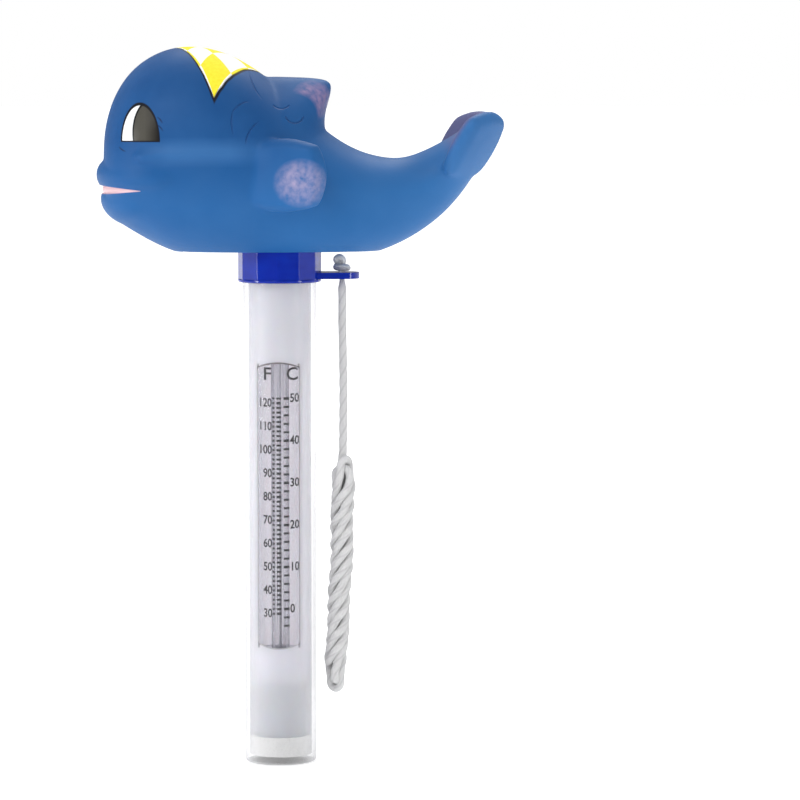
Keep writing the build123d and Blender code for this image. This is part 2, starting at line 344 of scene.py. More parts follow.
# Rings from the back up: centre along X, height, half length, half thickness
FIN_RINGS = (
    (0.0, 24.0, 21.0, 31.0),
    (-1.6, 32.0, 19.6, 29.6),
    (-3.0, 39.0, 18.0, 26.0),
    (-2.7, 45.0, 17.9, 22.5),
    (-1.5, 50.0, 18.2, 16.5),
    (-0.8, 54.2, 18.6, 10.0),
    (-1.3, 57.5, 17.8, 4.2),
)
FLUKE = {"centre": (63.2, 13.0, 34.8), "radii": (3.6, 11.9, 12.2), "turn": (0, 31, 34)}
FLIPPER = {"centre": (0.2, 30.5, 25.6), "radii": (14.2, 4.6, 11.4), "turn": (0, 0, 25)}
CHEEK = {"centre": (-27.0, 27.0, 31.6), "radii": (21.0, 5.6, 4.8), "turn": (0, 0, -3)}
CHIN = {"centre": (-44.0, 0.0, 17.2), "radii": (15.0, 22.5, 9.8)}
MOUTH_CORNER_X, MOUTH_FRONT_X, MOUTH_Z, MOUTH_OPENING = -45.9, -60.0, 20.4, 3.0
MOUTH_SLOPE = MOUTH_OPENING / 2 / (MOUTH_CORNER_X - MOUTH_FRONT_X)
LIP = {"centre": (-38.1, 0, 25.2), "spread": (18.8, 26.0), "thickness": (3.7, 4.8)}
GUM = {"centre": (-40.0, 0, MOUTH_Z), "radii": (18.4, 26.6, 6.0)}
PADDLE_SQUARENESS = 0.34
PADDLE_SPREAD = 1.05
VOXEL = 0.7
SOCKET_FLANGE_WIDTH = 2.2
SOCKET_FLANGE_THICKNESS = 1.3
SOCKET_ROOM = 0.3
FLANGE_ROOM = 0.1


def lip(name, centre, spread, thickness):
    """A roll that runs round the face: a ring stretched to the head's outline."""
    place = above_belly(centre)
    reach = 20 * MM
    roll = {"major_radius": reach, "minor_radius": thickness[0] * MM}
    roll.update(major_segments=96, minor_segments=20)
    piece = begin(name, bpy.ops.mesh.primitive_torus_add, location=place, **roll)
    piece.scale = (spread[0] * MM / reach, spread[1] * MM / reach, thickness[1] / thickness[0])
    return settle(piece)


def paddle(name, centre, radii, turn):
    """A lump whose corners are filled out, like the moulded flippers."""
    place = above_belly(centre)
    piece = begin(name, bpy.ops.mesh.primitive_uv_sphere_add, **BALL)
    modify(piece, "CAST", cast_type="CUBOID", factor=PADDLE_SQUARENESS)
    piece.scale = [radius * PADDLE_SPREAD for radius in radii]
    piece.rotation_euler = [math.radians(angle) for angle in turn]
    piece.location = place
    return settle(piece)


def mouth_wedge():
    """The space between the lips, opening towards the front, with a rounded gum behind it."""
    depth, width, edge = 30.0, 90.0, 0.1
    place = above_belly((MOUTH_CORNER_X - depth / 2, 0, MOUTH_Z))
    settings = {"size": 1, "location": place, "scale": (depth * MM, width * MM, edge * MM)}
    wedge = settle(begin("mouth_wedge", bpy.ops.mesh.primitive_cube_add, **settings))
    for part in (*wedge.data.polygons, *wedge.data.edges):
        part.select = False
    for vertex in wedge.data.vertices:
        vertex.select = vertex.co.x < place.x
    bpy.ops.object.mode_set(mode="EDIT")
    front = (place.x - depth / 2 * MM, 0, place.z)
    bpy.ops.transform.resize(value=(1, 1, 2 * depth * MOUTH_SLOPE / edge), center_override=front)
    bpy.ops.object.mode_set(mode="OBJECT")
    return cut(wedge, lump("gum", **GUM))


def cut(piece, cutter):
    """Takes one solid out of another and removes the cutter."""
    modify(piece, "BOOLEAN", operation="DIFFERENCE", object=cutter, solver="EXACT")
    bpy.data.objects.remove(cutter)
    return piece


def bar(name, radius, low, high):
    """A round cutter on the tube's axis, between two levels in metres."""
    middle = (0, 0, (low + high) / 2)
    settings = {"vertices": 96, "radius": radius, "depth": high - low, "location": middle}
    return settle(begin(name, bpy.ops.mesh.primitive_cylinder_add, **settings))


def soften(piece, turns, low, high, fade=8.0):
    """Smooths a piece between two places along X, in millimetres, and less and less past them."""
    group = piece.vertex_groups.new(name="soft")
    steps = 8
    shares = [[] for _ in range(steps + 1)]
    for vertex in piece.data.vertices:
        past = max(low - vertex.co.x / MM, vertex.co.x / MM - high, 0.0)
        shares[round(steps * max(0.0, 1.0 - past / fade))].append(vertex.index)
    for step in range(1, steps + 1):
        group.add(shares[step], step / steps, "REPLACE")
    modify(piece, "SMOOTH", factor=0.5, iterations=turns, vertex_group="soft")
    piece.vertex_groups.clear()
    return piece


def whale_skin():
    """The moulded float: lofted body, fin, flukes, flippers, cheeks and lips, blended into one."""
    rings = [((x, 0, z), (1, width, height), lean) for x, z, lean, height, width in BODY_RINGS]
    body = modify(loft("whale", rings, 28, upright=False), "SUBSURF", levels=2)
    stack = [((x, 0, z), (length, width, 1), 0) for x, z, length, width in FIN_RINGS]
    fin = modify(loft("fin", stack, 24, upright=True), "SUBSURF", levels=2)
    extras = [lip("upper_lip", **LIP), lump("chin", **CHIN), fin]
    extras += both_sides(paddle, "fluke", **FLUKE)
    extras += both_sides(paddle, "flipper", **FLIPPER)
    extras += both_sides(lump, "cheek", **CHEEK)
    body = join("whale", [body, *extras])
    body = modify(body, "REMESH", mode="VOXEL", voxel_size=VOXEL * MM)
    body = modify(body, "SMOOTH", factor=0.5, iterations=5)
    body = soften(body, 44, 50, 61)
    body = soften(body, 24, -44, -12, fade=10.0)
    body = cut(body, mouth_wedge())
    only(body)
    bpy.ops.object.mode_set(mode="EDIT")
    bpy.ops.mesh.select_all(action="SELECT")
    plane = {"plane_co": (0, 0, BELLY), "plane_no": (0, 0, 1)}
    bpy.ops.mesh.bisect(use_fill=True, clear_inner=True, **plane)
    bpy.ops.object.mode_set(mode="OBJECT")
    flange = (SOCKET_HIGH.x - SOCKET_LOW.x) / 2 + FLANGE_ROOM * MM
    socket = flange - SOCKET_FLANGE_WIDTH * MM
    below = BELLY - 5 * MM
    body = cut(body, bar("flange_room", flange, below, BELLY + SOCKET_FLANGE_THICKNESS * MM))
    body = cut(body, bar("socket_room", socket, below, SOCKET_HIGH.z + SOCKET_ROOM * MM))
    only(body)
    bpy.ops.object.shade_smooth_by_angle(angle=math.radians(50))
    return body


def arc_line(paint, x, z, centre, radius, middle, half_angle, width):
    """A mask along part of a circle on the whale's side. Angles are in degrees from +X."""
    across, up = x - centre[0], z - centre[1]
    distance = (across * across + up * up) ** 0.5
    line = abs(distance - radius).below(width, 0.25)
    turn = math.radians(middle)
    ahead = (across * math.cos(turn) + up * math.sin(turn)) / distance
    return line * ahead.above(math.cos(math.radians(half_angle)), 0.08)


def spot(across, up, centre, radii, blur):
    """A soft round mask."""
    a, b = (across - centre[0]) / radii[0], (up - centre[1]) / radii[1]
    return (a * a + b * b).below(1.0, blur)


# Marks on the flank: centre, radius, direction and half angle of each arc
FLANK_MARKS = (
    ((-4.5, 42.5), 12.0, 180, 15),
    ((-9.5, 41.5), 8.0, 122, 20),
    ((0.0, 50.5), 3.6, 270, 48),
    ((4.3, 45.5), 3.2, 270, 70),
    ((5.0, 60.0), 15.0, 203, 11),
    ((-3.0, 35.0), 9.0, 148, 24),
)


MARK_WIDTH = 0.2
FLIPPER_BLUSH = {"centre": (5.6, 23.2), "radii": (7.0, 6.2), "blur": 1.5}
FIN_BLUSH = {"centre": (10.8, 49.8), "radii": (6.2, 5.4), "blur": 1.2}
EYE_X, EYE_FOOT, EYE_HALF_WIDTH, EYE_HEIGHT = -45.8, 36.3, 6.3, 12.7
IRIS_X, IRIS_Z, IRIS_HALF_WIDTH, IRIS_HALF_HEIGHT = -42.3, 39.2, 5.6, 10.0
LASHES = (
    ((-42.6, 40.8), 4.2, 40, 13),
    ((-43.0, 37.6), 5.0, 44, 11),
    ((-49.5, 37.0), 3.9, 235, 14),
)
KERCHIEF_X, KERCHIEF_FRONT, KERCHIEF_REAR, KERCHIEF_HALF_WIDTH = -22.0, 12.4, 17.0, 26.9
KERCHIEF_CHECKS = 3


def arcs(paint, x, z, drawn):
    """Several arcs in one mask."""
    mask = 0.0
    for centre, radius, middle, half_angle in drawn:
        mask = arc_line(paint, x, z, centre, radius, middle, half_angle, MARK_WIDTH) + mask
    return mask


def vinyl_colour(paint, x, z):
    """Blue that is darker over the head and paler along the tail, with a painted highlight band along the
    cheek.
    """
    cloud = paint.noise(22, 3)
    deep, mid, light = srgb(17, 71, 127), srgb(34, 95, 155), srgb(80, 134, 192)
    colour = paint.mix(deep, mid, (z + cloud * 16).below(34, 22) * 0.7 + x.above(2, 26) * 0.45)
    colour = paint.mix(colour, light, x.above(46, 50) * 0.34 + cloud.above(0.56, 0.3) * 0.1)
    # A pale band along the cheek ridge: painted highlight.
    painted_cheek_highlight = z.below(36.0, 4.0) * z.above(30.0, 4.0) * x.below(-10, 14) * x.above(-42, 12)
    return paint.mix(colour, light, painted_cheek_highlight * 0.3), cloud


def blushes(paint, colour, cloud, x, z, side):
    """Mauve on the flukes' inner faces, and pink spots on the flippers and the fin."""
    (fx, fy, fz), (_, lean, cup) = FLUKE["centre"], FLUKE["turn"]
    lean, cup = math.radians(lean), math.radians(cup)
    normal = (math.cos(lean) * math.cos(cup), math.cos(lean) * math.sin(cup), -math.sin(lean))
    face = (x - fx) * normal[0] + (side - fy) * normal[1] + (z - fz) * normal[2]
    inner = face.below(-1.2, 2.0) * (z + side * 0.25).above(38, 6) * x.above(54, 4)
    colour = paint.mix(colour, srgb(96, 94, 134), inner * (0.45 + cloud * 0.8))
    speckle = paint.noise(2.2, 4)
    on_flipper = spot(x, z, **FLIPPER_BLUSH) * side.above(29, 3) * (speckle * 1.8 - 0.35)
    colour = paint.mix(colour, srgb(190, 170, 192), on_flipper * 0.62)
    on_fin = spot(x, z, **FIN_BLUSH) * side.below(12, 2) * (speckle * 1.8 - 0.3)
    return paint.mix(colour, srgb(176, 142, 172), on_fin * 0.65)


def mouth_colour(paint, colour, x, z):
    """Pink between the lips."""
    gape = (MOUTH_CORNER_X - x) * MOUTH_SLOPE
    inside = (abs(z - MOUTH_Z) - gape).below(0.08, 0.2) * x.below(MOUTH_CORNER_X, 0.3)
    return paint.mix(colour, srgb(222, 190, 196), inside)


def eye_colour(paint, colour, x, z, side):
    """Eyes: a dome with a flat foot, a white crescent in front, a dark iris and a few lashes."""
    on_head = side.above(12, 2) * x.below(-30, 2)
    across, up = x - EYE_X, z - EYE_FOOT
    width, height = across / EYE_HALF_WIDTH, up / EYE_HEIGHT
    dome = width * width + height * height
    rim = dome.below(1.0, 0.05) * up.above(0, 0.2) * on_head
    open_eye = dome.below(0.85, 0.05) * up.above(0.45, 0.2) * on_head
    width, height = (x - IRIS_X) / IRIS_HALF_WIDTH, (z - IRIS_Z) / IRIS_HALF_HEIGHT
    iris_shape = width * width + height * height
    iris, iris_rim = iris_shape.below(1.0, 0.05), iris_shape.below(1.17, 0.05)
    iris_colour = paint.mix(srgb(72, 70, 64), srgb(30, 28, 26), x.above(-42.4, 4.0))
    shaded = x.above(-48.6, 1.5) * z.below(44, 6)
    white = paint.mix(srgb(246, 247, 248), srgb(196, 200, 204), shaded)
    eye = paint.mix(white, srgb(10, 10, 14), iris_rim)
    eye = paint.mix(eye, iris_colour, iris)
    colour = paint.mix(colour, srgb(12, 14, 22), rim)
    colour = paint.mix(colour, eye, open_eye)
    colour = paint.mix(colour, srgb(16, 20, 44), arcs(paint, x, z, LASHES) * on_head)
    return colour, rim, open_eye


def kerchief_colour(paint, colour, x, z):
    """Kerchief: three checks a side, set corner to corner, with a dark edge."""
    length = x.above(KERCHIEF_X, 0.02) * (KERCHIEF_REAR - KERCHIEF_FRONT) + KERCHIEF_FRONT
    p, q = (x - KERCHIEF_X) / length, paint.y / KERCHIEF_HALF_WIDTH
    edge = abs(p) ** 1.12 + abs(q) ** 1.12 + (paint.noise(7, 1) - 0.5) * 0.06
    top = z.above(44, 2)
    outline, cloth = edge.below(1.035, 0.02) * top, edge.below(0.985, 0.02) * top
    half_checks = KERCHIEF_CHECKS / 2
    row = ((p + q + 1.0) * half_checks).floor()
    column = ((p - q + 1.0) * half_checks).floor()
    check = (row + column + 8.0).is_odd().below(0.5, 0.2)
    weave = paint.noise(1.1, 2)
    yellow = paint.mix(srgb(248, 238, 66), srgb(236, 214, 40), weave)
    chalk = paint.mix(srgb(250, 250, 246), srgb(232, 232, 228), weave)
    colour = paint.mix(colour, srgb(18, 20, 30), outline)
    return paint.mix(colour, paint.mix(chalk, yellow, check), cloth), cloth


def whale_paint():
    """Blue vinyl with printed eyes and kerchief, soft blushes, and embossed marks darkened with painted
    shade in their grooves.
    """
    paint = Finish("painted_vinyl", Specular_IOR_Level=0.15)
    x, z, side = paint.x, paint.z - BELLY / MM, abs(paint.y)
    colour, cloud = vinyl_colour(paint, x, z)
    colour = blushes(paint, colour, cloud, x, z, side)
    marks_and_groove_shade = arcs(paint, x, z, FLANK_MARKS) * side.above(5, 3)
    # The embossed marks are darkened too: painted shade in their grooves.
    colour = paint.mix(colour, srgb(22, 56, 112), marks_and_groove_shade * 0.5)
    colour = mouth_colour(paint, colour, x, z)
    colour, rim, open_eye = eye_colour(paint, colour, x, z, side)
    colour, cloth = kerchief_colour(paint, colour, x, z)
    fine, grain = paint.noise(0.9, 4), paint.noise(3.5, 3)
    paint.feed(Base_Color=colour)
    paint.feed(Roughness=0.46 + cloth * 0.2 + grain * 0.1 - open_eye * 0.2)
    paint.relief(cloth * 0.5 - marks_and_groove_shade * 0.3 + rim * 0.12 + fine * 0.03 + grain * 0.05, 0.8)
    return paint


# --- Rope --------------------------------------------------------------------------

CORD_RADIUS = 1.4
KNOT_SQUEEZE = 0.86
STRANDS = 3
STRAND_PITCH = 15.0
HOLE_X = 20.7
TAB_TOP = -26.2
CORD_POINTS = ((20.7, -26.2), (20.7, -44.2), (21.2, -60.2), (21.0, -74.3), (21.0, -87.3))
HANK_RUNS = 5
HANK_PITCH = 26.0
HANK_RADIUS = 2.7
HANK_SLIMMING = 0.1
RUN_STEP = math.radians(144)
RUN_SWAY = 0.12
SWAY_PITCH = 13.2
LOBE_PITCH = 13.0
LOBE_DEPTH = 0.22
HANK_TOP = -91.0
HANK_FOOT = -163.6
HANK_LEAN = 3.7
HANK_LEAN_LENGTH = 80.7
TWIST_EASE = 6.0
FOLD_STEP = 2.9
RUN_POINTS = 52
FOLD_POINTS = 5


def smooth_line(name, points):
    """The points of a smooth line that is led by the given ones, in millimetres."""
    curve = bpy.data.curves.new(name, "CURVE")
    curve.dimensions = "3D"
    curve.resolution_u = 10
    spline = curve.splines.new("NURBS")
    spline.points.add(len(points) - 1)
    for control, point in zip(spline.points, points):
        control.co = (*(Vector(point) * MM), 1)
    spline.order_u = 4
    spline.use_endpoint_u = True
    lead = bpy.data.objects.new(name, curve)
    bpy.context.collection.objects.link(lead)
    bpy.context.view_layer.update()
    line = [vertex.co.copy() for vertex in bpy.data.meshes.new_from_object(lead).vertices]
    bpy.data.objects.remove(lead)
    return line


def rope(name, line, radius, strands, pitch, sides=27, taper=1.2):
    """A mesh rope along a line: a section with one lobe for each strand, turned as it goes.
    Its ends are rounded over taper radii."""
    spaced = [line[0]]
    for point in line[1:]:
        if (point - spaced[-1]).length > 0.22 * radius:
            spaced.append(point)
    vertices, along = [], []
    travelled = 0.0
    across = None
    total = sum((b - a).length for a, b in zip(spaced, spaced[1:]))
    for index, point in enumerate(spaced):
        before = spaced[max(index - 1, 0)]
        after = spaced[min(index + 1, len(spaced) - 1)]
        ahead = (after - before).normalized()
        if across is None:
            across = ahead.orthogonal().normalized()
        across = (across - ahead * across.dot(ahead)).normalized()
        up = ahead.cross(across)
        travelled += (point - before).length if index else 0.0
        near_end = min(travelled, total - travelled) / (taper * radius)
        swell = math.sqrt(max(0.04, 1 - max(0, 1 - near_end) ** 2))
        for side in range(sides):
            angle = 2 * math.pi * side / sides
            lobe = abs(math.cos(strands * (angle - 2 * math.pi * travelled / pitch) / 2))
            reach = radius * swell * (0.84 + 0.17 * lobe**0.7)
            vertices.append(point + (across * math.cos(angle) + up * math.sin(angle)) * reach)
        along.append(travelled)
    rings = len(spaced)
    faces = []
    for ring in range(rings - 1):
        for side in range(sides):
            a, b = ring * sides + side, ring * sides + (side + 1) % sides
            faces.append((a, b, b + sides, a + sides))
    faces.append(tuple(reversed(range(sides))))
    faces.append(tuple(range((rings - 1) * sides, rings * sides)))
    mesh = bpy.data.meshes.new(name)
    mesh.from_pydata(vertices, [], faces)
    layer = mesh.uv_layers.new(name="UVMap")
    for face in mesh.polygons[:-2]:
        ring, side = divmod(face.index, sides)
        corners = ((side, ring), (side + 1, ring), (side + 1, ring + 1), (side, ring + 1))
        for loop, (column, row) in zip(face.loop_indices, corners):
            layer.data[loop].uv = (column / sides, along[row])
    piece = bpy.data.objects.new(name, mesh)
    bpy.context.collection.objects.link(piece)
    only(piece)
    bpy.ops.object.shade_smooth()
    return piece, spaced


def hank_point(level, angle, radius):
    """A point in the hank, which leans towards the tube as it goes down."""
    depth = (CORD_POINTS[-1][1] - level) / HANK_LEAN_LENGTH
    x = CORD_POINTS[-1][0] - HANK_LEAN * depth * abs(depth)
    return Vector((x + radius * math.cos(angle), radius * math.sin(angle), level))


def twist_level(level):
    """The level that sets the hank's twist: at both ends, where the folds are, it stays the same."""
    foot, top = HANK_FOOT + FOLD_STEP, HANK_TOP - FOLD_STEP
    held = min(max(level, foot), top)
    near_foot = max(TWIST_EASE - (held - foot), 0)
    near_top = max(TWIST_EASE - (top - held), 0)
    return held + (near_foot**2 - near_top**2) / (2 * TWIST_EASE)


def run_point(run, level):
    """A point on one run, which winds round the hank a little unevenly."""
    slim = 1.0 - HANK_SLIMMING * (HANK_TOP - level) / (HANK_TOP - HANK_FOOT)
    slim += LOBE_DEPTH / HANK_RADIUS * math.sin(2 * math.pi * level / LOBE_PITCH + 2.4 * run)
    sway = RUN_SWAY * math.sin(2 * math.pi * level / SWAY_PITCH + run)
    angle = run * RUN_STEP + 2 * math.pi * twist_level(level) / HANK_PITCH + sway
    return hank_point(level, angle, HANK_RADIUS * slim)


def fold(run, level, down):
    """A half circle from the end of a run to the start of the next."""
    start, end = run_point(run, level), run_point(run + 1, level)
    middle, half = (start + end) / 2, (start - end) / 2
    beyond = Vector((0, 0, -half.length if down else half.length))
    turns = [math.pi * i / (FOLD_POINTS + 1) for i in range(1, FOLD_POINTS + 1)]
    return [middle + half * math.cos(turn) + beyond * math.sin(turn) for turn in turns]


def hank_route():
    """Runs up and down the hank, twisted together, with a fold between each run and the next."""
    points = []
    for run in range(HANK_RUNS):
        down = run % 2 == 0
        top = HANK_TOP - FOLD_STEP * ((run - 1) // 2 if run else 0)
        foot = HANK_FOOT + FOLD_STEP * (run // 2)
        levels = [top + (foot - top) * i / (RUN_POINTS - 1) for i in range(RUN_POINTS)]
        if not down:
            levels.reverse()
        points += [run_point(run, level) for level in levels]
        if run < HANK_RUNS - 1:
            points += fold(run, levels[-1], down)
    return points


def tether():
    """The whole cord: down from the tab, then folded and twisted into the hank."""
    points = [Vector((x, 0, z)) for x, z in CORD_POINTS]
    points += hank_route()
    line = smooth_line("tether_lead", points)
    return rope("tether_cord_rope", line, CORD_RADIUS * MM, STRANDS, STRAND_PITCH * MM)


def stopper_knot():
    """The cord's end above the tab: up through the hole, twice round itself, and out to the side."""
    bends = (
        (0.0, 0.0, -0.6),
        (0.0, 0.0, 1.2),
        (-0.5, 0.5, 2.6),
        (-1.9, 0.2, 3.9),
        (-1.7, -0.4, 4.9),
        (-0.3, -0.5, 4.9),
        (0.5, 0.1, 3.6),
        (-0.3, 1.5, 2.5),
        (-1.7, 1.2, 1.9),
        (-2.0, -0.7, 1.7),
        (-0.6, -1.6, 1.6),
        (0.9, -1.6, 1.6),
        (2.0, -1.2, 1.4),
        (3.0, -0.9, 1.35),
    )
    points = [Vector((HOLE_X + x, y, TAB_TOP + z)) for x, y, z in bends]
    line = smooth_line("knot_lead", points)
    return rope("cord_knot_rope", line, KNOT_SQUEEZE * CORD_RADIUS * MM, STRANDS, STRAND_PITCH * MM)


def cord_yarn(name, pale):
    """Twisted yarn, with fibres along each strand, and painted shade in the grooves between the strands."""
    yarn = Finish(name, Roughness=0.85, Sheen_Weight=0.25)
    uv = yarn.node("ShaderNodeUVMap", {"uv_map": "UVMap"}).outputs[0]
    split = yarn.node("ShaderNodeSeparateXYZ", {}, {0: uv})
    around, along = Field(yarn, split.outputs[0]), Field(yarn, split.outputs[1]) / MM
    strand = (around - along / STRAND_PITCH) * STRANDS
    lane = abs(strand.fraction() - 0.5) * 2.0
    groove_and_painted_shade = lane.above(0.8, 0.4)
    fibre = (around * 14.0 + along * 2.6) * 2.0
    thread = abs(fibre.fraction() - 0.5) * 2.0
    fluff = yarn.noise(0.8, 4)
    # Greyer in the grooves between strands: painted shade.
    colour = yarn.mix(pale, srgb(172, 172, 174), groove_and_painted_shade * 0.45 + fluff * 0.3)
    colour = yarn.mix(colour, srgb(204, 204, 205), thread * 0.4)
    yarn.feed(Base_Color=colour)
    yarn.relief(thread * 0.5 + fluff * 0.5 - groove_and_painted_shade * 0.4, 0.16)
    return yarn


# --- Scale -------------------------------------------------------------------------

FREEZING = TUBE_FOOT + 51.9 * MM
PER_FAHRENHEIT = 0.78 * MM
PER_CELSIUS = 1.8 * PER_FAHRENHEIT
INK_STAND_OFF = 0.04
INK_THICKNESS = 0.04
PRINT_START = JACKET_FRONT - 1 * MM


def level_of_fahrenheit(degrees):
    """The height of a Fahrenheit mark, in metres."""
    return FREEZING + (degrees - 32) * PER_FAHRENHEIT


def level_of_celsius(degrees):
    """The height of a Celsius mark, in metres."""
    return FREEZING + degrees * PER_CELSIUS


def wrap_on_jacket(piece):
    """Lays a flat print on the front of the clear sleeve and gives it the depth of its ink."""
    jacket = frame["nodes"]["scale_jacket"]
    settings = {"wrap_method": "PROJECT", "use_project_y": True, "use_positive_direction": True}
    settings.update(use_negative_direction=False, offset=INK_STAND_OFF * MM)
    modify(piece, "SHRINKWRAP", target=jacket, **settings)
    modify(piece, "SOLIDIFY", thickness=INK_THICKNESS * MM, offset=0)
    return piece


def lettering(name, words, anchor, size, width_share, left):
    """Numbers in a plain upright face, one under another, as one mesh in front of the sleeve."""
    made = []
    for text, level in words:
        number = begin(name, bpy.ops.object.text_add, rotation=(math.pi / 2, 0, 0))
        number.data.body = text
        number.data.resolution_u = 4
        number.data.align_x = "LEFT" if left else "RIGHT"
        number.data.align_y = "CENTER"
        number.data.size = size * MM
        number.data.offset = 0.08 * MM
        number.scale = (width_share, 1, 1)
        number.location = (anchor * MM, PRINT_START, level)
        only(number)
        bpy.ops.object.convert(target="MESH")
        made.append(settle(bpy.context.object))
    piece = join(name, made)
    only(piece)
    bpy.ops.object.mode_set(mode="EDIT")
    bpy.ops.mesh.select_all(action="SELECT")
    bpy.ops.mesh.quads_convert_to_tris()
    bpy.ops.mesh.subdivide(number_cuts=1)
    bpy.ops.object.mode_set(mode="OBJECT")
    return wrap_on_jacket(piece)


def ticks(name, levels, left, right, heights):
    """Short printed bars, one for each level."""
    made = []
    for level, height in zip(levels, heights):
        place = ((left + right) / 2 * MM, PRINT_START, level)
        settings = {"size": 1, "location": place, "rotation": (math.pi / 2, 0, 0)}
        mark = begin(name, bpy.ops.mesh.primitive_plane_add, **settings)
        mark.scale = ((right - left) * MM, height * MM, 1)
        made.append(settle(mark))
    piece = join(name, made)
    only(piece)
    bpy.ops.object.mode_set(mode="EDIT")
    bpy.ops.mesh.select_all(action="SELECT")
    bpy.ops.mesh.subdivide(number_cuts=3)
    bpy.ops.object.mode_set(mode="OBJECT")
    return wrap_on_jacket(piece)


def scale_print():
    """Both scales and their headings."""
    fahrenheit = list(range(30, 124, 2))
    celsius = list(range(-4, 52, 2))
    bold = [0.85 if degrees % 10 == 0 else 0.68 for degrees in fahrenheit]
    bold_c = [0.9 if degrees % 10 == 0 else 0.7 for degrees in celsius]
    dots = [0.72] * len(fahrenheit)
    prints = [
        ticks("fahrenheit_ticks", map(level_of_fahrenheit, fahrenheit), -1.5, 0.0, bold),
        ticks("fahrenheit_dots", map(level_of_fahrenheit, fahrenheit), -2.85, -2.1, dots),
        ticks("celsius_ticks", map(level_of_celsius, celsius), 0.85, 2.75, bold_c),
    ]
    tens = [(str(degrees), level_of_fahrenheit(degrees)) for degrees in range(30, 130, 10)]
    prints.append(lettering("fahrenheit_numbers", tens, -3.05, 4.0, 0.7, left=False))
    tens = [(str(degrees), level_of_celsius(degrees)) for degrees in range(0, 60, 10)]
    prints.append(lettering("celsius_numbers", tens, 2.95, 4.0, 0.8, left=True))
    heading = BELLY - 40.7 * MM
    prints.append(lettering("fahrenheit_heading", [("F", heading)], -5.9, 5.9, 1.0, left=True))
    prints.append(lettering("celsius_heading", [("C", heading)], 1.7, 5.9, 1.0, left=True))
    return prints


def spirit_thread():
    """The column of spirit, as a thin cylinder cut into many slices along its length; the real column
    stretches as its head moves.
    """
    low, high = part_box("spirit_column")
    middle = ((low.x + high.x) / 2, (low.y + high.y) / 2, (low.z + high.z) / 2)
    settings = {"vertices": 20, "radius": (high.x - low.x) / 2, "depth": high.z - low.z}
    settings["location"] = middle
    piece = settle(begin("spirit_thread", bpy.ops.mesh.primitive_cylinder_add, **settings))
    slices = 60
    bpy.ops.object.mode_set(mode="EDIT")
    for i in range(1, slices):
        bpy.ops.mesh.select_all(action="SELECT")
        level = low.z + (high.z - low.z) * i / slices
        bpy.ops.mesh.bisect(plane_co=(0, 0, level), plane_no=(0, 0, 1))
    bpy.ops.object.mode_set(mode="OBJECT")
    bpy.ops.object.shade_smooth_by_angle(angle=math.radians(40))
    return piece, low, high


# --- Plain finishes ----------------------------------------------------------------


def collar_plastic():
    """Deep blue polished plastic with faint flow marks."""
    finish = Finish("collar_plastic", Specular_IOR_Level=0.42)
    flow = finish.noise(9, 2, (1, 1, 0.5))
    fine = finish.noise(0.7, 3)
    finish.feed(Base_Color=finish.mix(srgb(3, 30, 138), srgb(8, 44, 160), flow.above(0.5, 0.5)))
    finish.feed(Roughness=0.08 + fine * 0.06)
    finish.relief(flow * 0.6 + fine * 0.1, 0.12)
    return finish


def clear_plastic(name, tint, body, edge_shade_tint, roughness):
    """Clear plastic that is denser where it is seen along its wall, and greyer there with painted shade."""
    finish = Finish(name, IOR=1.49)
    facing = Field(finish, finish.node("ShaderNodeLayerWeight", {}, {"Blend": 0.35}).outputs["Facing"])
    scuffs = finish.noise(2.4, 4, (1, 1, 3))
    # Greyer towards the edges as seen: painted shade.
    finish.feed(Alpha=body + facing**1.5 * 0.9, Base_Color=finish.mix(tint, edge_shade_tint, facing))
    finish.feed(Roughness=roughness + scuffs * 0.06)
    return finish


WINDOW_TURN = math.radians(-6.0)
WINDOW_HALF_WIDTH = 6.75
WINDOW_LOW, WINDOW_HIGH = 39.0, 133.7
WINDOW_ARCH = 1.4


def milky_sleeve():
    """White translucent sleeve, with a dark line of painted shade along the cut edge round its window."""
    finish = Finish("milky_sleeve", Roughness=0.45, Subsurface_Weight=0.2, Subsurface_Scale=0.004)
    turned = finish.x * math.cos(WINDOW_TURN) + finish.y * math.sin(WINDOW_TURN)
    level = finish.z - TUBE_FOOT / MM
    arch = (turned / WINDOW_HALF_WIDTH) * (turned / WINDOW_HALF_WIDTH) * WINDOW_ARCH
    sides = abs(abs(turned) - WINDOW_HALF_WIDTH).below(0.34, 0.2)
    inside_height = level.below(WINDOW_HIGH, 0.4) * level.above(WINDOW_LOW, 0.4)
    top = abs(level + arch - WINDOW_HIGH).below(0.55, 0.2)
    foot = abs(level - arch - WINDOW_LOW).below(0.3, 0.2)
    front = finish.y.below(0, 0.5) * abs(turned).below(WINDOW_HALF_WIDTH + 0.3, 0.2)
    cloud = finish.noise(14, 3, (1, 1, 3))
    # A grey line down the window's sides and a near-black line along its top and foot: painted shade of the
    # sleeve's cut edge.
    edge = sides * inside_height * front * 0.85
    end = (top + foot * 0.6) * front * 0.9
    colour = finish.mix(srgb(244, 243, 245), srgb(232, 231, 236), cloud)
    colour = finish.mix(colour, srgb(90, 90, 100), edge)
    colour = finish.mix(colour, srgb(22, 22, 28), end)
    finish.feed(Base_Color=colour)
    finish.relief(finish.noise(1.2, 3), 0.03)
    passed = finish.node("ShaderNodeBsdfTranslucent", {}, {"Color": srgb(252, 251, 255)})
    share = 0.62 - (edge + end) * 0.5
    shaders = {0: share, 1: finish.shader.outputs[0], 2: passed.outputs[0]}
    both = finish.node("ShaderNodeMixShader", {}, shaders)
    finish.link(both.outputs[0], finish.output.inputs[0])
    return finish


